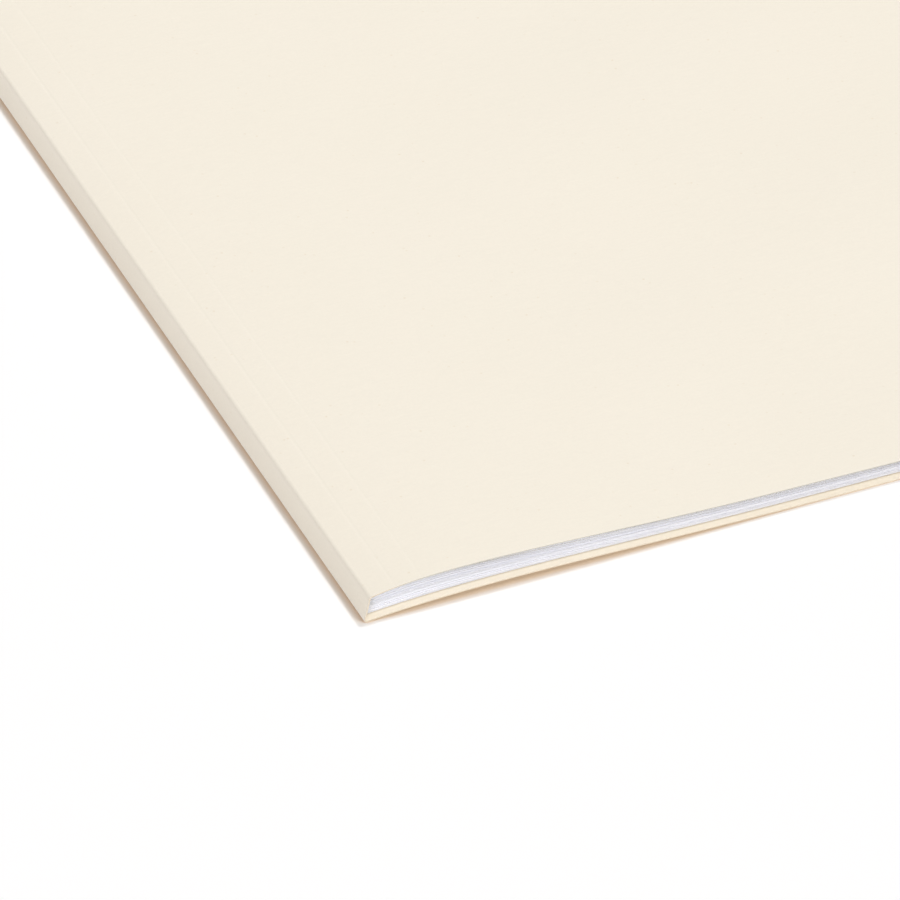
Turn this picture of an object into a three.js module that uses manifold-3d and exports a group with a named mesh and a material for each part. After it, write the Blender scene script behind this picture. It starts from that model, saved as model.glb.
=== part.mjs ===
// A manila file folder lying closed on a table, with a sheaf of letter paper in it.
// The folder is one die-cut sheet of card. Its back leaf carries a tab. Its front leaf is scored so that the fold
// can widen, and the first score is folded here, which makes a squared spine between two creases.
// The card bows over the paper, which stands highest just inside the fold.
// Millimetres, +Z up. X runs from the fold to the open top, Y along the fold, and the back leaf lies on Z = 0.
import * as THREE from "three";
import { mergeVertices } from "three/addons/utils/BufferGeometryUtils.js";
import Module from "manifold-3d";

const wasm = await Module();
wasm.setup();

// Card blank
const cardThickness = 0.28; // 11 point stock
const foldLength = 295.3;
const backHeight = 228.6; // fold to the body's top edge, without the tab
const frontHeight = 225.4; // the front leaf stops short, so that a thumb finds its edge
const leafCornerRadius = 3;

// Tab, one third cut and centred
const tabHeight = 12.7;
const tabTopWidth = 88;
const tabSideRun = 6; // how far each side of the tab leans out on its way down
const tabCornerRadius = 5;
const tabFootRadius = 3;

// Expansion scores, pressed into the outside of the front leaf. The first one is folded and ends the spine.
const scorePitch = 6.35;
const scoreCount = 3;
const scoreWidth = 1.2;
const scoreDepth = 0.08;

// Spine and creases
const spineLean = THREE.MathUtils.degToRad(13); // the top of the spine leans in over the paper
const backCreaseRadius = 0.5; // outside radius of the sharp lower crease
const frontCreaseRadius = 1.0; // outside radius of the softer upper crease
const creaseSeam = 0.15; // clearance between a crease and each stiff part beside it
const creaseSteps = 8;

// Bow of the leaves over the paper
const frontRise = THREE.MathUtils.degToRad(12.5); // slope at which the front leaf leaves its crease
const frontBowPeak = 28; // distance from the fold to the top of the front leaf's bow
const frontSettle = 60; // distance over which the leaf comes down to the packed paper
const backBow = 1.4; // lift of the back leaf off the table
const backBowLength = 130;
const backBowSkew = 3; // the larger, the nearer to the fold the lift peaks

// Paper
const sheetCount = 30;
const sheetThickness = 0.1;
const sheetWidth = 215.9; // across the folder, from the fold
const sheetLength = 279.4; // along the fold
const sheetGap = 0.02; // air between packed sheets
const sheafSeat = 0.05; // air under the lowest sheet
const leafClearance = 0.3; // least air between the top sheet and the front leaf
const spineClearance = 0.3; // between the sheets' ends and the spine
const sheafSetback = 2.1; // from the folder's near edge to the sheaf's near edge
const sheafSettle = 62; // distance from the fold over which the sheaf packs down
const bundleSize = 5; // sheets put in together
const edgeScatter = 0.3; // how far the sheets' edges stand out of line
const airScatter = 0.9; // how unevenly the air is shared among the sheets

// How finely the bowed card and paper are divided. They share one set of stations, so that neighbours' facets
// stay parallel and never touch.
const stationCount = 26;
const stationPower = 1.5; // crowds the stations towards the fold
const shortestStep = 1; // a strip's end steps are never shorter than this

const card = { color: 0xf5ede0, roughness: 0.85, metalness: 0 };
const paper = { color: 0xf1f2f7, roughness: 0.9, metalness: 0 };

// Solids and meshes

function toSolid(geometry) {
  const bare = geometry.clone();
  bare.deleteAttribute("normal");
  bare.deleteAttribute("uv");
  const merged = mergeVertices(bare, 1e-4);
  return new wasm.Manifold(
    new wasm.Mesh({
      numProp: 3,
      vertProperties: merged.attributes.position.array,
      triVerts: new Uint32Array(merged.index.array),
    }),
  );
}

function toGeometry(solid) {
  const { vertProperties, triVerts } = solid.getMesh();
  const geometry = new THREE.BufferGeometry();
  geometry.setAttribute("position", new THREE.BufferAttribute(vertProperties, 3));
  geometry.setIndex(new THREE.BufferAttribute(triVerts, 1));
  geometry.computeVertexNormals();
  return geometry;
}

// A side profile in X and Z, carried along Y from yStart over the given length.
function alongFold(profile, yStart, length) {
  const geometry = new THREE.ExtrudeGeometry(profile, { depth: length, bevelEnabled: false });
  return geometry.rotateX(Math.PI / 2).translate(0, yStart + length, 0);
}

// A plan outline in X and Y, carried straight up past both sides of a flat strip.
function upright(outline, strip) {
  const { min, max } = new THREE.Box3().setFromBufferAttribute(strip.attributes.position);
  const overshoot = max.z - min.z;
  const depth = 3 * overshoot;
  const blank = new THREE.ExtrudeGeometry(outline, { depth, bevelEnabled: false, curveSegments: 8 });
  return blank.translate(0, 0, min.z - overshoot);
}

// An outline through corners, each rounded by its own radius.
function roundedOutline(corners) {
  const outline = new THREE.Shape();
  corners.forEach(({ x, y, radius }, i) => {
    const corner = new THREE.Vector2(x, y);
    const before = corners.at(i - 1);
    const after = corners[(i + 1) % corners.length];
    const arrive = corner.clone().add(new THREE.Vector2(before.x - x, before.y - y).setLength(radius));
    const leave = corner.clone().add(new THREE.Vector2(after.x - x, after.y - y).setLength(radius));
    if (i === 0) outline.moveTo(arrive.x, arrive.y);
    else outline.lineTo(arrive.x, arrive.y);
    if (radius > 0) outline.quadraticCurveTo(x, y, leave.x, leave.y);
  });
  outline.closePath();
  return outline;
}

// A flat strip from yStart along the fold, bent so that its underside follows height(x) between two ends.
// It bends at the shared stations, and closely at each score.
function bowedStrip({ height, xStart, xEnd, thickness, yStart, length, scores = [] }) {
  const between = (x) => x > xStart + shortestStep && x < xEnd - shortestStep;
  const clearOfScores = (x) => scores.every((score) => Math.abs(x - score) > scoreWidth);
  const scoreLines = scores.flatMap((score) => [-2, -1, 0, 1, 2].map((n) => score + (n * scoreWidth) / 4));
  const inside = [...stations.filter(clearOfScores), ...scoreLines].filter(between).sort((a, b) => a - b);
  const lines = [xStart, ...inside, xEnd];
  const steps = lines.length - 1;
  const strip = new THREE.BoxGeometry(steps, length, thickness, steps, 1, 1);
  const point = strip.attributes.position;
  const nudge = 1e-3;
  for (let i = 0; i < point.count; i++) {
    const x = lines[Math.round(point.getX(i) + steps / 2)];
    const slope = (height(x + nudge) - height(x - nudge)) / (2 * nudge);
    const normal = new THREE.Vector2(-slope, 1).setLength(point.getZ(i) + thickness / 2);
    point.setXYZ(i, x + normal.x, point.getY(i) + yStart + length / 2, height(x) + normal.y);
  }
  return strip;
}

const nearEdge = -foldLength / 2;
const tabTop = backHeight + tabHeight;
const stations = Array.from({ length: stationCount }, (_, i) => tabTop * (i / stationCount) ** stationPower);

// Fold geometry, worked out from the spine

const direction = (angle) => new THREE.Vector2(Math.cos(angle), Math.sin(angle));

const backBowPeak = 1 / (1 + backBowSkew); // where the back leaf lifts most, as a share of its bow's length

const spineUp = direction(Math.PI / 2 - spineLean);
const spineInward = direction(-spineLean);
const backBowFactor = backBow / (backBowPeak * (1 - backBowPeak) ** backBowSkew);
const backRise = Math.atan(backBowFactor / backBowLength); // slope at which the back leaf leaves its crease
const backBend = Math.PI / 2 + spineLean - backRise; // from the back leaf round to the spine
const frontBend = Math.PI / 2 - spineLean - frontRise; // from the spine round to the front leaf

const backCreaseCentre = new THREE.Vector2(backCreaseRadius, backCreaseRadius);
const spineFoot = backCreaseCentre.clone().addScaledVector(spineInward, -backCreaseRadius);
const spineFlat =
  scorePitch - backCreaseRadius * Math.tan(backBend / 2) - frontCreaseRadius * Math.tan(frontBend / 2);
const spineHead = spineFoot.clone().addScaledVector(spineUp, spineFlat);
const frontCreaseCentre = spineHead.clone().addScaledVector(spineInward, frontCreaseRadius);

const backLeafRoot = backCreaseCentre
  .clone()
  .addScaledVector(direction(backRise - Math.PI / 2), backCreaseRadius)
  .addScaledVector(direction(backRise), creaseSeam);

// The front crease line is where the outer faces of the spine and the front leaf would meet.
const frontCreaseLine = spineHead.clone().addScaledVector(spineUp, frontCreaseRadius * Math.tan(frontBend / 2));

const frontNormal = direction(Math.PI / 2 + frontRise);
const frontAlong = direction(frontRise);
const frontLeafRoot = frontCreaseCentre
  .clone()
  .addScaledVector(frontNormal, frontCreaseRadius - cardThickness)
  .addScaledVector(frontAlong, creaseSeam);

// Heights of the faces that the paper lies between, as functions of the distance from the fold

function backLeafUnderside(x) {
  const s = THREE.MathUtils.clamp((x - backLeafRoot.x) / backBowLength, 0, 1);
  return (backLeafRoot.y + backBowFactor * s) * (1 - s) ** backBowSkew;
}

const backLeafTop = (x) => backLeafUnderside(x) + cardThickness;

const packedSheaf = sheetCount * (sheetThickness + sheetGap);
const farHeight = cardThickness + sheafSeat + packedSheaf + leafClearance;
const settleDrop = frontLeafRoot.y - farHeight;
const frontBow = ((Math.tan(frontRise) + settleDrop / frontSettle) * frontBowPeak) / Math.E;

function frontLeafUnderside(x) {
  const run = x - frontLeafRoot.x;
  const bow = frontBow * (run / frontBowPeak) * Math.exp(1 - run / frontBowPeak);
  return farHeight + settleDrop * Math.exp(-run / frontSettle) + bow;
}

// The scores that are left flat, by their distance from the fold, and how far they dent the leaf.
const frontScores = Array.from(
  { length: scoreCount - 1 },
  (_, i) => frontCreaseLine.x + (i + 1) * scorePitch * Math.cos(frontRise),
);

function scoreDent(x) {
  const nearest = Math.min(...frontScores.map((score) => Math.abs(x - score)), scoreWidth / 2);
  return (scoreDepth * (1 + Math.cos((2 * Math.PI * nearest) / scoreWidth))) / 2;
}

// Air among the sheets: all the spare room near the fold, and next to none further in.
function sheafAir(x) {
  const spare = frontLeafUnderside(x) - leafClearance - packedSheaf - sheafSeat - backLeafTop(x);
  return spare * Math.exp(-((x / sheafSettle) ** 2));
}

// The sheaf was put in as several small bundles, so most of its air and its stray edges lie between bundles.
const bundleTurn = (i) => (2 * Math.PI * i) / bundleSize + Math.sin(i);
const airWeights = Array.from({ length: sheetCount - 1 }, (_, i) => 1 + airScatter * Math.sin(bundleTurn(i)));
const airTotal = airWeights.reduce((sum, weight) => sum + weight, 0);

// Share of the air that lies under each sheet, from 0 under the lowest to 1 under the top one.
const airShare = [0];
airWeights.forEach((weight) => airShare.push(airShare.at(-1) + weight / airTotal));

const sheetUnderside = (i) => (x) =>
  backLeafTop(x) + sheafSeat + i * (sheetThickness + sheetGap) + sheafAir(x) * airShare[i];

function spineInnerFace(z) {
  const foot = spineFoot.clone().addScaledVector(spineInward, cardThickness);
  return Math.max(foot.x + (z - foot.y) * Math.tan(spineLean), backCreaseCentre.x);
}

// The pieces

const folder = new THREE.Group();
folder.position.x = -tabTop / 2; // the origin is under the middle of the box round the folder

function addPiece(name, geometry, stock) {
  const mesh = new THREE.Mesh(geometry, new THREE.MeshStandardMaterial(stock));
  mesh.name = name;
  folder.add(mesh);
}

// A leaf is a bowed strip of card, trimmed to the die-cut outline.
function trimmedLeaf(shape, outline) {
  const strip = bowedStrip({ thickness: cardThickness, yStart: nearEdge, length: foldLength, ...shape });
  return toGeometry(toSolid(strip).intersect(toSolid(upright(outline, strip))));
}

// A leaf's corners in order: two at the fold, then the near and the far one at its top edge.
function leafCorners(xTop) {
  return [
    { x: 0, y: -nearEdge, radius: 0 },
    { x: 0, y: nearEdge, radius: 0 },
    { x: xTop, y: nearEdge, radius: leafCornerRadius },
    { x: xTop, y: -nearEdge, radius: leafCornerRadius },
  ];
}

function backLeaf() {
  const half = tabTopWidth / 2;
  const tab = [
    { x: backHeight, y: -half - tabSideRun, radius: tabFootRadius },
    { x: tabTop, y: -half, radius: tabCornerRadius },
    { x: tabTop, y: half, radius: tabCornerRadius },
    { x: backHeight, y: half + tabSideRun, radius: tabFootRadius },
  ];
  const corners = leafCorners(backHeight);
  corners.splice(3, 0, ...tab);
  const shape = { height: backLeafUnderside, xStart: backLeafRoot.x, xEnd: tabTop };
  return trimmedLeaf(shape, roundedOutline(corners));
}

function frontLeaf() {
  const height = (x) => frontLeafUnderside(x) - scoreDent(x);
  const shape = { height, xStart: frontLeafRoot.x, xEnd: frontHeight, scores: frontScores };
  return trimmedLeaf(shape, roundedOutline(leafCorners(frontHeight)));
}

// A crease is the card's own thickness, bent round a centre between two directions.
function crease(centre, radius, fromAngle, toAngle) {
  const arc = (r, from, to) =>
    Array.from({ length: creaseSteps + 1 }, (_, i) =>
      direction(from + ((to - from) * i) / creaseSteps).multiplyScalar(r).add(centre),
    );
  const outside = arc(radius, fromAngle, toAngle);
  const inside = arc(radius - cardThickness, toAngle, fromAngle);
  return alongFold(new THREE.Shape([...outside, ...inside]), nearEdge, foldLength);
}

function spine() {
  const outerFoot = spineFoot.clone().addScaledVector(spineUp, creaseSeam);
  const outerHead = spineHead.clone().addScaledVector(spineUp, -creaseSeam);
  const innerHead = outerHead.clone().addScaledVector(spineInward, cardThickness);
  const innerFoot = outerFoot.clone().addScaledVector(spineInward, cardThickness);
  return alongFold(new THREE.Shape([outerFoot, innerFoot, innerHead, outerHead]), nearEdge, foldLength);
}

function sheet(i) {
  const height = sheetUnderside(i);
  const topAtFold = height(backCreaseRadius) + sheetThickness;
  const xStart = spineInnerFace(topAtFold) + spineClearance;
  const stray = (edgeScatter * (2 * Math.cos(bundleTurn(i)) + Math.sin(4.1 * i))) / 3;
  return bowedStrip({
    height,
    xStart,
    xEnd: xStart + sheetWidth,
    thickness: sheetThickness,
    yStart: nearEdge + sheafSetback + stray,
    length: sheetLength,
  });
}

const spineTurn = Math.PI - spineLean; // the angle that the spine's outer face looks towards
addPiece("back_leaf", backLeaf(), card);
addPiece("back_crease", crease(backCreaseCentre, backCreaseRadius, spineTurn, Math.PI * 1.5 + backRise), card);
addPiece("spine", spine(), card);
addPiece("front_crease", crease(frontCreaseCentre, frontCreaseRadius, Math.PI / 2 + frontRise, spineTurn), card);
addPiece("front_leaf", frontLeaf(), card);
for (let i = 0; i < sheetCount; i++) {
  addPiece(`sheet_${String(i + 1).padStart(2, "0")}`, sheet(i), paper);
}

export default folder;
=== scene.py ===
# Manila file folder lying closed on a sheaf of letter paper.
# Shapes are worked out in millimetres in the fold's own section, where x = 0 is the outermost face of the
# fold and z = 0 is the table. They go into the meshes in metres, in the place of the parts in model.glb.
from math import atan, cos, e, pi, radians, sin, tan

import bpy
import numpy as np
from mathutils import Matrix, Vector


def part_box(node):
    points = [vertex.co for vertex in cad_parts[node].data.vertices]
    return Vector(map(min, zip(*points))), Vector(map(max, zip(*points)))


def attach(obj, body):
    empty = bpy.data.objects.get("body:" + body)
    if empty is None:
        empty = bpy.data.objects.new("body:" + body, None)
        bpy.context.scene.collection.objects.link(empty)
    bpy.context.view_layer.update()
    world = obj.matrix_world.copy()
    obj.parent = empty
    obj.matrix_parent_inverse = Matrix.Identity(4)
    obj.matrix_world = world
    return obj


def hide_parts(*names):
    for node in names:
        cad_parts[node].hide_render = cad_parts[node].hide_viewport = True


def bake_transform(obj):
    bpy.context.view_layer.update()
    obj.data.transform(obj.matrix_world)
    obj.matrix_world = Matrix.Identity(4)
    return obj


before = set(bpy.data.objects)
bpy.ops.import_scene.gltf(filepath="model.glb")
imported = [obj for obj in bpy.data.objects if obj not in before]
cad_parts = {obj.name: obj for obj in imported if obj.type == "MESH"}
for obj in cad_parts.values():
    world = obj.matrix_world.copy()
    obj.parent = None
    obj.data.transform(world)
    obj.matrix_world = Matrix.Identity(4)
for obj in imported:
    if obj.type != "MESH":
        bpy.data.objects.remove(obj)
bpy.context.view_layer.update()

mm = 0.001
white = (1, 1, 1, 1)
sharpFrom = radians(50)    # edges that turn by more are shaded sharp

# What model.glb gives: the size of the die-cut card. Heights above the fold are measured from foldX.
backLow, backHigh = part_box("back_leaf")
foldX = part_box("back_crease")[0][0] / mm
nearEdge = backLow[1] / mm
farEdge = backHigh[1] / mm
tabTop = backHigh[0] / mm - foldX
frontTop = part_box("front_leaf")[1][0] / mm - foldX
sheetNames = sorted(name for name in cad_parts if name.startswith("sheet_"))
print(f"frame: fold {farEdge - nearEdge:.1f} mm, tab top at {tabTop:.1f} mm, {len(sheetNames)} sheets")


# Small tools

def smooth(t):
    # the S curve 3t^2 - 2t^3, held at 0 and 1 outside its span
    t = np.clip(t, 0, 1)
    return t * t * (3 - 2 * t)


def heading(angle):
    return np.array([cos(angle), sin(angle)])


def gridQuads(rows, columns, first, flip=False):
    # the quads of a grid of points numbered row by row from `first`
    i, j = np.meshgrid(np.arange(rows - 1), np.arange(columns - 1), indexing="ij")
    a = first + i * columns + j
    quads = np.stack([a, a + columns, a + columns + 1, a + 1], axis=-1).reshape(-1, 4)
    return quads[:, ::-1] if flip else quads


def rimQuads(rows, columns, count):
    # joins the border of the outside grid to the border of the inside grid, all the way round
    number = np.arange(count).reshape(rows, columns)
    loop = np.concatenate([number[0, :-1], number[:-1, -1], number[-1, :0:-1], number[:0:-1, 0]])
    ahead = np.roll(loop, -1)
    return np.stack([loop, ahead, ahead + count, loop + count], axis=-1)


def cardMesh(name, outside, inside, materials, marks):
    # A closed sheet between two grids of points in mm, rows along the section and columns along the fold.
    # Material 0 covers both faces and material 1 the cut edges. marks are values per point of the outside
    # grid, and the inside takes the same. The attribute "inner" is 1 on the inside.
    rows, columns = outside.shape[:2]
    count = rows * columns
    points = np.concatenate([outside.reshape(-1, 3), inside.reshape(-1, 3)])
    points = (points + np.array([foldX, 0, 0])) * mm
    faces = np.concatenate([gridQuads(rows, columns, 0), gridQuads(rows, columns, count, flip=True)])
    quads = np.concatenate([faces, rimQuads(rows, columns, count)]).astype(np.int32)
    mesh = bpy.data.meshes.new(name)
    mesh.vertices.add(len(points))
    mesh.vertices.foreach_set("co", points.astype(np.float32).ravel())
    mesh.loops.add(quads.size)
    mesh.loops.foreach_set("vertex_index", quads.ravel())
    mesh.polygons.add(len(quads))
    mesh.polygons.foreach_set("loop_start", np.arange(0, quads.size, 4, dtype=np.int32))
    slots = np.zeros(len(quads), dtype=np.int32)
    slots[len(faces):] = 1
    mesh.polygons.foreach_set("material_index", slots)
    mesh.polygons.foreach_set("use_smooth", np.ones(len(quads), dtype=bool))
    for label, values in marks.items():
        both = np.concatenate([np.broadcast_to(values, (rows, columns)).ravel()] * 2)
        mesh.attributes.new(label, "FLOAT", "POINT").data.foreach_set("value", both.astype(np.float32))
    sides = np.repeat(np.array([0, 1], np.float32), count)
    mesh.attributes.new("inner", "FLOAT", "POINT").data.foreach_set("value", sides)
    mesh.update(calc_edges=True)
    mesh.set_sharp_from_angle(angle=sharpFrom)
    for material in materials:
        mesh.materials.append(material)
    piece = bpy.data.objects.new(name, mesh)
    bpy.context.scene.collection.objects.link(piece)
    return piece


# Materials

def newMaterial(name):
    material = bpy.data.materials.new(name)
    material.use_nodes = True
    return material


class Nodes:
    # Builds a node tree anew. add makes a node, socket makes one and returns one of its outputs, and the
    # rest are the nodes that repeat.

    def __init__(self, owner):
        self.tree = owner.node_tree
        self.tree.nodes.clear()

    def add(self, kind, inputs, **settings):
        node = self.tree.nodes.new(kind)
        for key, value in settings.items():
            setattr(node, key, value)
        for key, value in inputs.items():
            if isinstance(value, bpy.types.NodeSocket):
                self.tree.links.new(value, node.inputs[key])
            else:
                node.inputs[key].default_value = value
        return node

    def socket(self, kind, inputs, output=0, **settings):
        return self.add(kind, inputs, **settings).outputs[output]

    def place(self):
        return self.socket("ShaderNodeTexCoord", {}, "Object")

    def attribute(self, name):
        return self.socket("ShaderNodeAttribute", {}, "Fac", attribute_name=name)

    def isRay(self, kind):
        return self.socket("ShaderNodeLightPath", {}, f"Is {kind} Ray")

    def stretched(self, vector, scale):
        return self.socket("ShaderNodeMapping", {"Vector": vector, "Scale": scale}, vector_type="POINT")

    def noise(self, vector, scale, detail, roughness=0.5):
        inputs = {"Vector": vector, "Scale": scale, "Detail": detail, "Roughness": roughness}
        return self.socket("ShaderNodeTexNoise", inputs)

    def openness(self, reach, samples, **inputs):
        # 1 in the open, down to 0 where everything is covered within reach in mm
        inputs["Distance"] = reach * mm
        return self.socket("ShaderNodeAmbientOcclusion", inputs, "AO", samples=samples)

    def ramp(self, value, span, to=(0.0, 1.0)):
        # carries a value from one span to another, and holds it at the ends
        return self.socket("ShaderNodeMapRange", {"Value": value, "From Min": span[0], "From Max": span[1],
                                                  "To Min": to[0], "To Max": to[1]})

    def mix(self, factor, first, second, **settings):
        inputs = {"Factor": factor, "A": first, "B": second}
        return self.socket("ShaderNodeMix", inputs, "Result", data_type="RGBA", **settings)

    def math(self, operation, first, second, **settings):
        return self.socket("ShaderNodeMath", {0: first, 1: second}, operation=operation, **settings)

    def vectorMath(self, operation, *values):
        return self.socket("ShaderNodeVectorMath", dict(enumerate(values)), operation=operation)

    def surface(self, colour, roughness, height, look):
        # a rough surface with a fine relief
        bump = self.socket("ShaderNodeBump", {"Height": height, "Strength": look["relief"],
                                              "Distance": look["reliefDepth"] * mm})
        shader = self.socket("ShaderNodeBsdfPrincipled", {"Base Color": colour, "Roughness": roughness,
                                                          "Normal": bump,
                                                          "Specular IOR Level": look["specular"]})
        self.add("ShaderNodeOutputMaterial", {"Surface": shader})


def linear(red, green, blue):
    # a colour written as it looks on a screen, from 0 to 255, as the linear colour that a shader wants
    levels = np.array([red, green, blue]) / 255
    low = levels / 12.92
    high = ((levels + 0.055) / 1.055) ** 2.4
    return (*np.where(levels <= 0.04045, low, high), 1.0)


middle = (0.3, 0.7)                    # the span that a noise texture mostly keeps to

# In these, clouds, tooth, fibres, patches, plies and formation are noises, each with its scale, detail and
# roughness. Reaches and depths are in mm.
manila = {
    "light": linear(245, 238, 223.5), "dark": linear(243.5, 236.5, 221), "clouds": (22, 4.0),
    "tooth": (1500, 5.0, 0.65), "toothShade": (0.985, 1.012),
    "fibreScale": (260, 1500, 1500), "fibres": (1.0, 3.0),
    "fibreSpan": (0.3, 0.75), "fibreShade": (0.994, 1.008),
    "fleck": linear(214, 190, 150), "fleckShare": 0.22, "fleckScale": 420, "fleckRim": (0.07, 0.16),
    "patches": (170, 2.0), "patchRim": (0.52, 0.66),
    "wornAndLit": linear(255, 251, 244),
    # painted light on the card's inside, and painted shade where the inside comes close to other surfaces
    # such as the paper
    "paintedInsideLight": (1.06, 1.04, 1.0, 1), "paintedContactShade": (0.88, 0.85, 0.80, 1),
    "contactReach": 0.6, "contactRim": (1.0, 0.5), "contactSamples": 8,
    "roughness": (0.57, 0.70), "relief": 0.16, "reliefDepth": 0.04, "specular": 0.28,
}
# the third colour is painted shade for the front leaf's cut edge
cutEdge = {
    "dark": linear(203, 190, 169), "light": linear(219, 208, 189), "paintedShadeColour": linear(190, 187, 178),
    "plyScale": (500, 500, 9000), "plies": (1.0, 4.0),
    "roughness": 0.85, "relief": 0.3, "reliefDepth": 0.04, "specular": 0.2,
}
office = {
    "light": linear(242, 243, 248), "dark": linear(236, 237, 244), "byTone": 0.4,
    "edgeLight": linear(245, 247.5, 254.5), "edgeDark": linear(233, 236.5, 247), "edgeByTone": 0.9,
    "formation": (320, 5.0, 0.6), "tooth": (2600, 3.0),
    "roughness": 0.72, "relief": 0.12, "reliefDepth": 0.02, "specular": 0.3,
    "coverReach": (1.2, 2.9), "coverGain": (2.1, 2.2, 2.5), "coverTilt": (0.5, 0.87), "coverSamples": 12,
    "coverRise": (2, 28), "coverLeast": 0.1, "dimRun": (0, 100), "dimTo": 0.86,
}


def manilaCard():
    # Calendered card: slow clouds of two creams, a fine tooth, long fibres along the fold, a few tan
    # flecks, and paler burnished card where it is worn, which at the back crease is mostly painted light.
    # Its inside carries painted light, a little brighter and warmer, and painted shade close to the paper.
    material = newMaterial("manila_card")
    nodes = Nodes(material)
    place = nodes.place()
    tooth = nodes.noise(place, *manila["tooth"])
    fibres = nodes.noise(nodes.stretched(place, manila["fibreScale"]), *manila["fibres"])
    cream = nodes.mix(nodes.noise(place, *manila["clouds"]), manila["light"], manila["dark"])
    shade = nodes.math("MULTIPLY", nodes.ramp(tooth, middle, manila["toothShade"]),
                       nodes.ramp(fibres, manila["fibreSpan"], manila["fibreShade"]))
    shaded = nodes.socket("ShaderNodeVectorMath", {0: cream, "Scale": shade}, operation="SCALE")

    cells = nodes.socket("ShaderNodeTexVoronoi",
                         {"Vector": place, "Scale": manila["fleckScale"], "Randomness": 1.0}, "Distance")
    fleck = nodes.ramp(cells, manila["fleckRim"], (manila["fleckShare"], 0.0))
    rare = nodes.ramp(nodes.noise(place, *manila["patches"]), manila["patchRim"])
    flecked = nodes.mix(nodes.math("MULTIPLY", fleck, rare), shaded, manila["fleck"])
    wornAndLitShare = nodes.math("MULTIPLY", nodes.attribute("wearAndHighlight"), tooth)
    wornAndLit = nodes.mix(wornAndLitShare, flecked, manila["wornAndLit"])

    opened = nodes.openness(manila["contactReach"], manila["contactSamples"])
    contactShadeMask = nodes.ramp(opened, manila["contactRim"])
    paintedInsideLight = nodes.mix(contactShadeMask, manila["paintedInsideLight"], manila["paintedContactShade"])
    insideLightAndShade = nodes.mix(nodes.attribute("inner"), white, paintedInsideLight)
    withPaintedLight = nodes.vectorMath("MULTIPLY", wornAndLit, insideLightAndShade)
    roughness = nodes.ramp(tooth, middle, manila["roughness"])
    nodes.surface(withPaintedLight, roughness, nodes.math("ADD", fibres, tooth), manila)
    return material


def cutCardEdge():
    # The die-cut edge: open layers of fibre that run along the card, a little darker than its faces. On the
    # front leaf it is greyed with painted shade, which comes in away from the fold.
    material = newMaterial("cut_card_edge")
    nodes = Nodes(material)
    plies = nodes.noise(nodes.stretched(nodes.place(), cutEdge["plyScale"]), *cutEdge["plies"])
    colour = nodes.mix(plies, cutEdge["dark"], cutEdge["light"])
    edgeShaded = nodes.mix(nodes.attribute("paintedEdgeShade"), colour, cutEdge["paintedShadeColour"])
    nodes.surface(edgeShaded, cutEdge["roughness"], plies, cutEdge)
    return material


def officePaper(name, light, dark, byTone, shades=False):
    # Uncoated office paper: the cloudy formation of its pulp, a fine tooth, and a tone of each sheet's own.
    # byTone is how much of the way from light to dark that tone takes, and the pulp takes the rest.
    material = newMaterial(name)
    nodes = Nodes(material)
    place = nodes.place()
    swing = (1 - byTone) / 2
    cloud = nodes.ramp(nodes.noise(place, *office["formation"]), middle, (-swing, swing))
    tone = nodes.math("MULTIPLY", nodes.attribute("tone"), byTone)
    colour = nodes.mix(nodes.math("ADD", cloud, tone, use_clamp=True), light, dark)
    if shades:
        colour = nodes.vectorMath("MULTIPLY", colour, overhangShade(nodes, place))
    nodes.surface(colour, office["roughness"], nodes.noise(place, *office["tooth"]), office)
    return material


def overhangShade(nodes, place):
    # Darkens an edge where something hangs over it between the two reaches, as the front leaf does. It
    # looks upwards from the edge. The shade grows away from the fold, and the edges dim a little with it.
    face, up = office["coverTilt"]
    normal = nodes.socket("ShaderNodeNewGeometry", {}, "Normal")
    upward = nodes.vectorMath("MULTIPLY_ADD", normal, (face, face, face), (0, 0, up))
    nearer, further = (nodes.openness(reach, office["coverSamples"], Normal=upward)
                       for reach in office["coverReach"])
    across = nodes.socket("ShaderNodeSeparateXYZ", {"Vector": place}, "X")
    riseSpan, dimSpan = ([(foldX + run) * mm for run in office[key]] for key in ("coverRise", "dimRun"))
    grown = nodes.ramp(across, riseSpan, (office["coverLeast"], 1.0))
    loss = nodes.math("MULTIPLY", nodes.math("SUBTRACT", further, nearer), grown)
    dim = nodes.ramp(across, dimSpan, (1.0, office["dimTo"]))
    return nodes.vectorMath("MULTIPLY_ADD", loss, office["coverGain"], dim)


cardSurfaces = [manilaCard(), cutCardEdge()]
paperSurfaces = [
    officePaper("office_paper", office["light"], office["dark"], office["byTone"]),
    officePaper("cut_paper_edge", office["edgeLight"], office["edgeDark"], office["edgeByTone"],
                shades=True),
]
print("materials made")


# The fold's section: two creases with the spine between them

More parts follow.
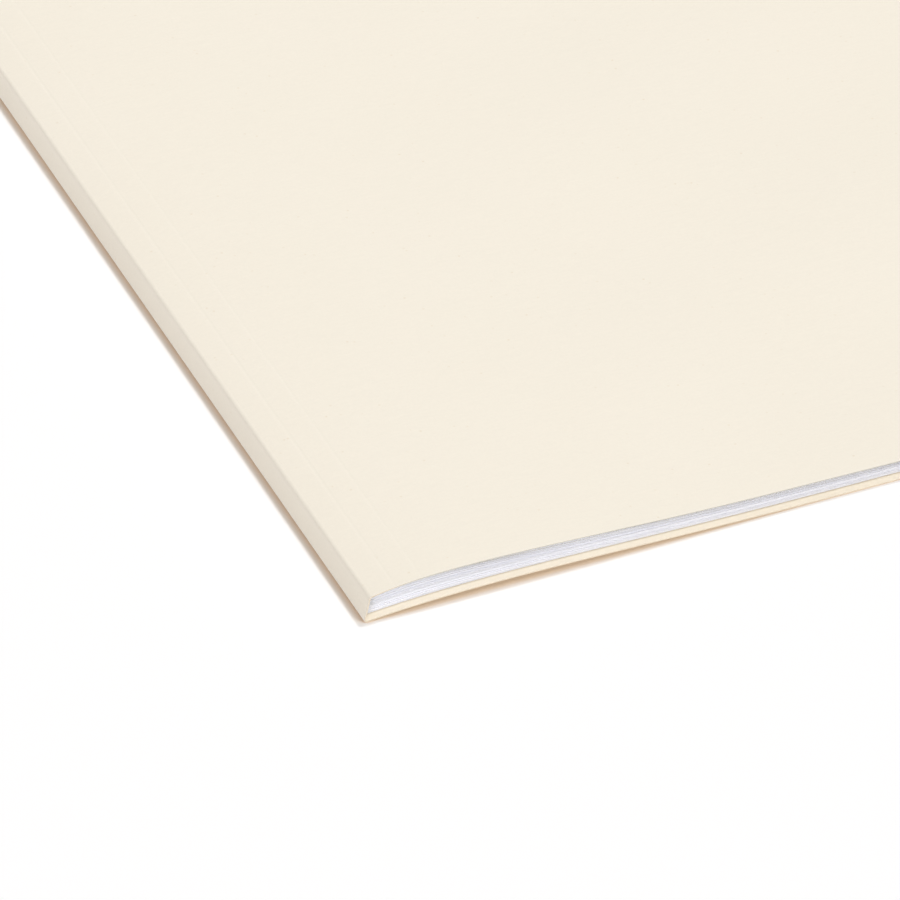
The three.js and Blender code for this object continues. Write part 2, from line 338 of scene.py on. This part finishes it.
fold = {
    "thickness": 0.28,
    "scorePitch": 6.35,                # from one score to the next, and the spine's width
    "lean": radians(13),               # the spine leans in over the paper
    "backRadius": 0.5, "frontRadius": 1.0,
    "frontRise": radians(12.5),        # slope at which the front leaf leaves its crease
    "leadIn": 0.4,                     # flat card at each end of a crease piece
    "arcSteps": 20, "spineSteps": 36, "leadSteps": 3,
    "flare": 0.2, "flareReach": 11,    # the fold stands a little wider at its near end
    "flareFoot": 1, "flareAcross": 24,
    "flute": 0.035, "fluteReach": 5,   # fine ripples where the spine ends
    "flutePitch": 1.1, "fluteSlant": 16, "fluteFoot": 1.5,
}
backBow = {"lift": 1.4, "length": 130, "skew": 3}      # a larger skew brings the top nearer to the fold
frontBow = {"peak": 28, "settle": 60}                  # how far out it crests, and how slowly it settles
sheaf = {
    "sheetThickness": 0.1, "sheetGap": 0.02, "width": 215.9, "length": 279.4,
    "seat": 0.05, "leafClearance": 0.3, "spineClearance": 0.3,   # gaps below, above and towards the spine
    "setback": 2.1,                    # from the folder's near edge
    "settle": 62,                      # how far from the fold the air between the sheets fades out
    "bundle": 5,                       # sheets that keep together
    "edgeScatter": 0.19, "strayTurn": 4.1, "skew": 0.12, "skewTurn": 2.3,
    "airScatter": 0.9, "toneDrift": 0.8, "toneTurn": 1.7,
    "stations": 90, "crowding": 1.4, "edgeColumns": 12,
}

card = fold["thickness"]
bowPeak = 1 / (1 + backBow["skew"])
bowFactor = backBow["lift"] / (bowPeak * (1 - bowPeak) ** backBow["skew"])
backRise = atan(bowFactor / backBow["length"])
# the ways that the outer faces look: the back leaf's beside the fold, the spine's and the front leaf's
backTurn, spineTurn, frontTurn = 1.5 * pi + backRise, pi - fold["lean"], pi / 2 + fold["frontRise"]
spineUp = heading(pi / 2 - fold["lean"])
spineIn = heading(-fold["lean"])
backBend = pi / 2 + fold["lean"] - backRise
frontBend = pi / 2 - fold["lean"] - fold["frontRise"]
backCentre = np.array([fold["backRadius"], fold["backRadius"]])
spineFoot = backCentre - fold["backRadius"] * spineIn
spineFlat = (fold["scorePitch"] - fold["backRadius"] * tan(backBend / 2)
             - fold["frontRadius"] * tan(frontBend / 2))
spineHead = spineFoot + spineFlat * spineUp
frontCentre = spineHead + fold["frontRadius"] * spineIn
frontLine = spineHead + fold["frontRadius"] * tan(frontBend / 2) * spineUp     # where the outer faces meet
backRoot = backCentre + fold["backRadius"] * heading(backRise - pi / 2)
frontRoot = frontCentre + (fold["frontRadius"] - card) * heading(frontTurn)
packed = len(sheetNames) * (sheaf["sheetThickness"] + sheaf["sheetGap"])
farHeight = card + sheaf["seat"] + packed + sheaf["leafClearance"]


def backUnderside(x):
    # The back leaf's bow: (height at the root + factor s) (1 - s)^skew, with s from 0 at the crease to 1
    # where the leaf is flat.
    s = np.clip((x - backRoot[0]) / backBow["length"], 0, 1)
    return (backRoot[1] + bowFactor * s) * (1 - s) ** backBow["skew"]


def frontUnderside(x):
    # the front leaf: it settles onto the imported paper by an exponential, with a bow r exp(1 - r) on top
    run = x - frontRoot[0]
    drop = frontRoot[1] - farHeight
    r = run / frontBow["peak"]
    rise = (tan(fold["frontRise"]) + drop / frontBow["settle"]) * frontBow["peak"] / e
    return farHeight + drop * np.exp(-run / frontBow["settle"]) + rise * r * np.exp(1 - r)


def upNormals(underside, x):
    # unit normals of the face that follows underside(x)
    nudge = 0.01
    slope = (underside(x + nudge) - underside(x - nudge)) / (2 * nudge)
    steep = np.sqrt(1 + slope ** 2)
    return np.stack([-slope / steep, 0 * x, 1 / steep], axis=-1)


def flared(points):
    # The fold gapes at its near end: points near the front crease rise, by an amount that fades out along
    # the fold, down the spine and across the leaf.
    along = np.exp(-(points[..., 1] - nearEdge) / fold["flareReach"])
    height = smooth((points[..., 2] - fold["flareFoot"]) / (frontLine[1] - fold["flareFoot"]))
    across = smooth(1 - (points[..., 0] - frontLine[0]) / fold["flareAcross"])
    points[..., 2] += fold["flare"] * along * height * across
    return points


def alongFold(section, y):
    # carries a section of x and z points along the fold: a row for each point, a column for each place in y
    grid = np.empty((len(section), len(y), 3))
    grid[..., 0] = section[:, 0, None]
    grid[..., 1] = y[None, :]
    grid[..., 2] = section[:, 1, None]
    return grid


# The die-cut outline, as the top edge's height above the fold at each place along the fold

outline = {
    "backHeight": 228.6, "cornerRadius": 3, "tabTopWidth": 88, "tabSideRun": 6,
    "tabCorner": 5, "tabFoot": 3, "cornerSteps": 9,
    "spacing": 4.5, "nearSpacing": 0.7, "nearReach": 14, "leastStep": 0.02,      # columns along the fold
    "backStations": 130, "frontStations": 120, "crowding": 1.35,                 # rows out from it
    "lastStretch": 40,                 # the rows of a leaf's last stretch move to meet its top edge
}

# How much paler the card is where it is rubbed or bent, and over how many mm that fades. At the back crease
# most of the paleness is painted light on the bend, which turns down towards the table. The last entry is
# how far from the fold painted shade comes onto the front leaf's cut edge.
wearAndHighlight = {
    "edge": 0.3, "edgeReach": 0.5, "score": 0.05, "scoreReach": 0.5,
    "backCrease": 1.9, "frontCrease": 0.15, "creaseEnds": 0.25,
    "spineFoot": 0.5, "spineFootReach": 0.5, "spineHead": 0.25, "spineHeadReach": 0.8,
    "edgeShadeRise": 14,
}


def roundedEdge(corners):
    # Runs through corners (y, x, radius) and rounds each with a quadratic curve that starts and ends a
    # radius away from it.
    t = np.linspace(0, 1, outline["cornerSteps"])[:, None]
    path = []
    for before, corner, after in zip(corners, corners[1:], corners[2:]):
        at, back, on = (np.array(p[:2], float) for p in (corner, before, after))
        start = at + corner[2] * (back - at) / np.linalg.norm(back - at)
        end = at + corner[2] * (on - at) / np.linalg.norm(on - at)
        path.append((1 - t) ** 2 * start + 2 * t * (1 - t) * at + t ** 2 * end)
    return np.concatenate(path)


def leafEdge(height, tab=()):
    radius = outline["cornerRadius"]
    return roundedEdge([(nearEdge, 0, 0), (nearEdge, height, radius), *tab, (farEdge, height, radius),
                        (farEdge, 0, 0)])


half = outline["tabTopWidth"] / 2
foot = half + outline["tabSideRun"]
tabCorners = [(-foot, outline["backHeight"], outline["tabFoot"]), (-half, tabTop, outline["tabCorner"]),
              (half, tabTop, outline["tabCorner"]), (foot, outline["backHeight"], outline["tabFoot"])]
backEdge = leafEdge(outline["backHeight"], tabCorners)
frontEdge = leafEdge(frontTop)
even = np.arange(nearEdge, farEdge, outline["spacing"])
fine = np.arange(nearEdge, nearEdge + outline["nearReach"], outline["nearSpacing"])
places = np.concatenate([backEdge[:, 0], frontEdge[:, 0], even, fine, [farEdge]])
columns = np.unique(np.round(places, 3))
columns = columns[np.concatenate([[True], np.diff(columns) > outline["leastStep"]])]


def crowdedStations(start, end, count, extra=()):
    # places of the rows from the fold outwards, crowded towards it, with any extra ones put in
    run = start + (end - start) * np.linspace(0, 1, count) ** outline["crowding"]
    return np.unique(np.concatenate([run, np.asarray(extra, float)]))


def leafGrid(stations, edge, underside, lift):
    # A leaf's two faces. Stations run from the fold, and the last stretch of them reaches to the die-cut
    # edge. The lower face lies on underside(x) with lift(x, y) added, and the upper face is a card's
    # thickness above it.
    reach = np.interp(columns, edge[:, 0], edge[:, 1])
    last = stations[-1]
    stretch = smooth((stations - (last - outline["lastStretch"])) / outline["lastStretch"])[:, None]
    x = stations[:, None] + stretch * (reach - last)[None, :]
    y = np.broadcast_to(columns, x.shape)
    lower = np.stack([x, y, underside(x) + lift(x, y)], axis=-1)
    return lower, lower + card * upNormals(underside, x)


def edgeWear(points, edge):
    # cards wear pale along their free edges: 1 at an edge, gone about 1 mm in
    reach = np.interp(points[..., 1], edge[:, 0], edge[:, 1])
    ends = np.minimum(points[..., 1] - nearEdge, farEdge - points[..., 1])
    inFrom = np.minimum(reach - points[..., 0], ends)
    return np.exp(-np.maximum(inFrom, 0) / wearAndHighlight["edgeReach"])


# Back leaf, with the tab

leadBack = backRoot + fold["leadIn"] * heading(backRise)
stations = crowdedStations(leadBack[0], outline["backHeight"], outline["backStations"])
lower, upper = leafGrid(stations, backEdge, backUnderside, lambda x, y: 0 * x)
lower, upper = lower[::-1], upper[::-1]           # from the tab to the fold, so the underside is outside
backMarks = {"wearAndHighlight": wearAndHighlight["edge"] * edgeWear(lower, backEdge)}
backLeaf = cardMesh("manila_back_leaf", lower, upper, cardSurfaces, backMarks)
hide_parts("back_leaf")
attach(backLeaf, "back")
print("back leaf made")


# Creases and spine

def creaseSection(centre, radius, start, end, towards, away):
    # A bend of the card round its centre, with flat card at both ends. Angles are those of the outward
    # normal, towards and away are the ways that the flat ends point.
    angles = np.linspace(start, end, fold["arcSteps"] + 1)
    normals = np.stack([np.cos(angles), np.sin(angles)], axis=-1)
    leads = np.linspace(1, 0, fold["leadSteps"] + 1)[:-1, None] * fold["leadIn"]
    faces = []
    for r in (radius, radius - card):
        arc = centre + r * normals
        faces.append(np.concatenate([arc[0] + leads * towards, arc, (arc[-1] + leads * away)[::-1]]))
    return faces


def creaseWearAndHighlight(rows):
    # palest in the middle of the bend: wear, and at the back crease mostly painted light
    ends = wearAndHighlight["creaseEnds"]
    return (ends + (1 - ends) * np.sin(np.linspace(0, pi, rows)) ** 2)[:, None]


# The back crease: most of its paleness is painted light on the bend.
outer, inner = creaseSection(backCentre, fold["backRadius"], backTurn, spineTurn,
                             heading(backRise), spineUp)
outside, inside = flared(alongFold(outer, columns)), flared(alongFold(inner, columns))
backCrease = cardMesh("manila_back_crease", outside, inside, cardSurfaces,
                      {"wearAndHighlight": wearAndHighlight["backCrease"] * creaseWearAndHighlight(len(outer))})
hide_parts("back_crease")

outer, inner = creaseSection(frontCentre, fold["frontRadius"], spineTurn, frontTurn,
                             -spineUp, heading(fold["frontRise"]))
outside, inside = flared(alongFold(outer, columns)), flared(alongFold(inner, columns))
frontCrease = cardMesh("manila_front_crease", outside, inside, cardSurfaces,
                       {"wearAndHighlight": wearAndHighlight["frontCrease"] * creaseWearAndHighlight(len(outer))})
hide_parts("front_crease")

rise = np.linspace(fold["leadIn"], spineFlat - fold["leadIn"], fold["spineSteps"])[:, None]
outer = spineFoot + rise * spineUp
outside = alongFold(outer, columns)
inside = alongFold(outer + card * spineIn, columns)
fromNear = (columns - nearEdge)[None, :]
ripple = np.sin(2 * pi * (rise / fold["flutePitch"] + fromNear / fold["fluteSlant"]))
ripple = ripple * np.exp(-fromNear / fold["fluteReach"])
ripple = ripple * smooth(rise / fold["fluteFoot"]) * np.sin(pi * rise / spineFlat)
for face in (outside, inside):
    face[..., 0] -= fold["flute"] * ripple * spineIn[0]
outside, inside = flared(outside), flared(inside)
footWear = wearAndHighlight["spineFoot"] * np.exp(-rise / wearAndHighlight["spineFootReach"])
headWear = wearAndHighlight["spineHead"] * np.exp(-(spineFlat - rise) / wearAndHighlight["spineHeadReach"])
spineStrip = cardMesh("manila_spine", outside, inside, cardSurfaces, {"wearAndHighlight": footWear + headWear})
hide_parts("spine")
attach(spineStrip, "spine")
print("creases and spine made")


# Front leaf, with its two flat scores

score = {"width": 1.2, "depth": 0.045, "count": 2, "samples": 13}
cockle = {"height": 0.08, "first": (0.011, 0.007), "second": (-0.006, 0.013), "start": 45, "rise": 60}
scoreStep = fold["scorePitch"] * cos(fold["frontRise"])
scorePlaces = [frontLine[0] + (k + 1) * scoreStep for k in range(score["count"])]


def frontLift(x, y):
    # the scores' rounded dents, and a slow cockle of the card that starts past the fold
    lift = np.zeros_like(x)
    for place in scorePlaces:
        off = np.minimum(np.abs(x - place), score["width"] / 2)
        lift -= score["depth"] * (1 + np.cos(2 * pi * off / score["width"])) / 2
    waves = sum(np.sin(2 * pi * (kx * x + ky * y)) for kx, ky in (cockle["first"], cockle["second"]))
    return lift + cockle["height"] * waves * smooth((x - cockle["start"]) / cockle["rise"])


leadFront = frontRoot + fold["leadIn"] * heading(fold["frontRise"])
around = [np.linspace(-0.5, 0.5, score["samples"]) * score["width"] + place for place in scorePlaces]
stations = crowdedStations(leadFront[0], frontTop, outline["frontStations"], np.concatenate(around))
lower, upper = leafGrid(stations, frontEdge, frontUnderside, frontLift)
upper, lower = flared(upper), flared(lower)
frontWear = wearAndHighlight["edge"] * edgeWear(upper, frontEdge)
for place in scorePlaces:
    frontWear = frontWear + wearAndHighlight["score"] * np.exp(-((upper[..., 0] - place) / wearAndHighlight["scoreReach"]) ** 2)
# painted shade on the front leaf's cut edge, coming in away from the fold
frontMarks = {"wearAndHighlight": frontWear, "paintedEdgeShade": smooth((upper[..., 0] - frontLine[0]) / wearAndHighlight["edgeShadeRise"])}
frontLeaf = cardMesh("manila_front_leaf", upper, lower, cardSurfaces, frontMarks)
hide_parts("front_leaf")
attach(frontLeaf, "front")
print("front leaf made")


# The sheaf

count = len(sheetNames)
numbers = np.arange(count)
bundleTurn = 2 * pi * numbers / sheaf["bundle"] + np.sin(numbers)
airWeights = 1 + sheaf["airScatter"] * np.sin(bundleTurn[:-1])
airShare = np.concatenate([[0], np.cumsum(airWeights) / airWeights.sum()])


def sheafAir(x):
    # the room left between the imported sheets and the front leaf, fading away from the fold
    spare = frontUnderside(x) - sheaf["leafClearance"] - packed - sheaf["seat"] - backUnderside(x) - card
    return spare * np.exp(-(x / sheaf["settle"]) ** 2)


def sheetUnderside(i):
    pitch = sheaf["sheetThickness"] + sheaf["sheetGap"]
    return lambda x: backUnderside(x) + card + sheaf["seat"] + i * pitch + sheafAir(x) * airShare[i]


def sheetGrid(i):
    # One sheet: its underside follows its share of the room, and its long edges are straight but a little
    # askew. Its near edge strays, two parts with its bundle and one part by itself. The sines of i scatter
    # the sheets without a pattern that shows.
    underside = sheetUnderside(i)
    topAtFold = underside(backCentre[0]) + sheaf["sheetThickness"]
    innerFoot = spineFoot + card * spineIn
    start = max(innerFoot[0] + (topAtFold - innerFoot[1]) * tan(fold["lean"]), backCentre[0])
    start += sheaf["spineClearance"]
    x = start + sheaf["width"] * np.linspace(0, 1, sheaf["stations"]) ** sheaf["crowding"]
    stray = sheaf["edgeScatter"] * (2 * cos(bundleTurn[i]) + sin(sheaf["strayTurn"] * i)) / 3
    first = nearEdge + sheaf["setback"] + stray
    y = first + sheaf["length"] * np.linspace(0, 1, sheaf["edgeColumns"])
    skewed = sheaf["skew"] * sin(sheaf["skewTurn"] * i) * (x - start) / sheaf["width"]
    lower = np.empty((len(x), len(y), 3))
    lower[..., 0] = x[:, None]
    lower[..., 1] = y[None, :] + skewed[:, None]
    lower[..., 2] = underside(x)[:, None]
    return lower, lower + sheaf["sheetThickness"] * upNormals(underside, x)[:, None, :]


toneTurns = bundleTurn + sheaf["toneDrift"] * np.sin(sheaf["toneTurn"] * numbers)
tones = (1 + np.sin(toneTurns)) / 2
for i, node in enumerate(sheetNames):
    lower, upper = sheetGrid(i)
    sheet = cardMesh(f"paper_{node}", upper, lower, paperSurfaces, {"tone": np.full((1, 1), tones[i])})
    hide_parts(node)
    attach(sheet, "sheaf")
print(f"{count} sheets made")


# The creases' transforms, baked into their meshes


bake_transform(backCrease)
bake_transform(frontCrease)


# Table, light and camera

studio = {
    "floorSize": 5.0,
    "shadeColour": (0.75, 0.62, 0.50, 1), "shadeGlow": (0.04, 0.015, 0.0, 1),
    "shadeReach": 2.7, "shadeGain": 2.7, "shadeMost": 1.1, "shadeSamples": 20,
    "worldShare": 0.30, "worldColour": (1.0, 0.96, 0.9, 1),
}


def makeFloor():
    # White table. Close to the card it picks up a warm contact shade, which is most of what the photo shows
    # of it. Only the camera sees the shade, so the light that the table throws back stays white.
    size = studio["floorSize"] / 2
    mesh = bpy.data.meshes.new("table_top")
    mesh.from_pydata([(-size, -size, 0), (size, -size, 0), (size, size, 0), (-size, size, 0)], [],
                     [(0, 1, 2, 3)])
    floor = bpy.data.objects.new("table_top", mesh)
    bpy.context.scene.collection.objects.link(floor)
    material = newMaterial("white_table")
    nodes = Nodes(material)
    seen = nodes.isRay("Camera")
    most = studio["shadeMost"]
    covered = 1 - most / studio["shadeGain"]
    opened = nodes.openness(studio["shadeReach"], studio["shadeSamples"])
    dark = nodes.ramp(opened, (1.0, covered), (0.0, most))
    tone = nodes.mix(dark, white, studio["shadeColour"], clamp_factor=False)
    diffuse = nodes.socket("ShaderNodeBsdfDiffuse", {"Color": nodes.mix(seen, white, tone)})
    glow = nodes.socket("ShaderNodeEmission",
                        {"Color": studio["shadeGlow"], "Strength": nodes.math("MULTIPLY", seen, dark)})
    both = nodes.socket("ShaderNodeAddShader", {0: diffuse, 1: glow})
    nodes.add("ShaderNodeOutputMaterial", {"Surface": both})
    mesh.materials.append(material)


def makeWorld():
    # a soft warm sky that lights the scene, and a white one for what is seen or mirrored
    world = bpy.data.worlds.new("studio")
    world.use_nodes = True
    bpy.context.scene.world = world
    nodes = Nodes(world)
    seen = nodes.isRay("Camera")
    for kind in ("Glossy", "Transmission"):
        seen = nodes.math("MAXIMUM", seen, nodes.isRay(kind))
    soft = nodes.socket("ShaderNodeBackground",
                        {"Color": studio["worldColour"], "Strength": studio["worldShare"]})
    plainWhite = nodes.socket("ShaderNodeBackground", {"Color": white, "Strength": 1.0})
    mixed = nodes.socket("ShaderNodeMixShader", {0: seen, 1: soft, 2: plainWhite})
    nodes.add("ShaderNodeOutputWorld", {"Surface": mixed})


# Small far lights. slide is how far each one's shadow moves in x and y for a unit of height, share is the
# part of the table's light that comes from it, and angle is its size in degrees.
lights = {
    "key_behind": {"slide": (0.49, 0.17), "share": 0.24, "angle": 5, "colour": (0.98, 1.0, 1.03)},
    "key_before": {"slide": (0.49, -0.42), "share": 0.23, "angle": 12, "colour": (0.97, 1.0, 1.05)},
    "low_fill": {"slide": (-2.0, -2.1), "share": 0.118, "angle": 25, "colour": (1.0, 0.965, 1.0)},
    "front_fill": {"slide": (0.5, -2.3), "share": 0.125, "angle": 25, "colour": (1.03, 1.0, 0.95)},
}


def makeLamps():
    for name, setting in lights.items():
        towards = Vector((*setting["slide"], 1))
        sun = bpy.data.lights.new(name, "SUN")
        sun.energy = setting["share"] * pi * towards.length
        sun.angle = radians(setting["angle"])
        sun.color = setting["colour"]
        lamp = bpy.data.objects.new(name, sun)
        lamp.rotation_euler = towards.to_track_quat("Z", "Y").to_euler()
        bpy.context.scene.collection.objects.link(lamp)


view = {
    "elevation": 36.94, "turn": 23.56,   # degrees, the turn is clockwise seen from above
    "scale": 4.52, "framePixels": 900,   # pixels to a millimetre at the point looked at
    "aim": (41.72, 49.48),               # that point, from the folder's near corner at the fold
    "distance": 2.0, "sensor": 36.0,
    "clip": (0.01, 50),
}


def makeCamera():
    turn, rise = radians(view["turn"]), radians(view["elevation"])
    forward = Vector((sin(turn) * cos(rise), cos(turn) * cos(rise), -sin(rise)))
    aim = Vector(((foldX + view["aim"][0]) * mm, (nearEdge + view["aim"][1]) * mm, 0))
    camera = bpy.data.cameras.new("camera")
    camera.sensor_width = view["sensor"]
    camera.lens = view["sensor"] * view["distance"] / (view["framePixels"] / view["scale"] * mm)
    camera.clip_start, camera.clip_end = view["clip"]
    stand = bpy.data.objects.new("camera", camera)
    stand.location = aim - forward * view["distance"]
    stand.rotation_euler = (-forward).to_track_quat("Z", "Y").to_euler()
    bpy.context.scene.collection.objects.link(stand)
    bpy.context.scene.camera = stand


makeFloor()
makeWorld()
makeLamps()
makeCamera()
bpy.context.scene.view_settings.view_transform = "Standard"
print("table, light and camera set")
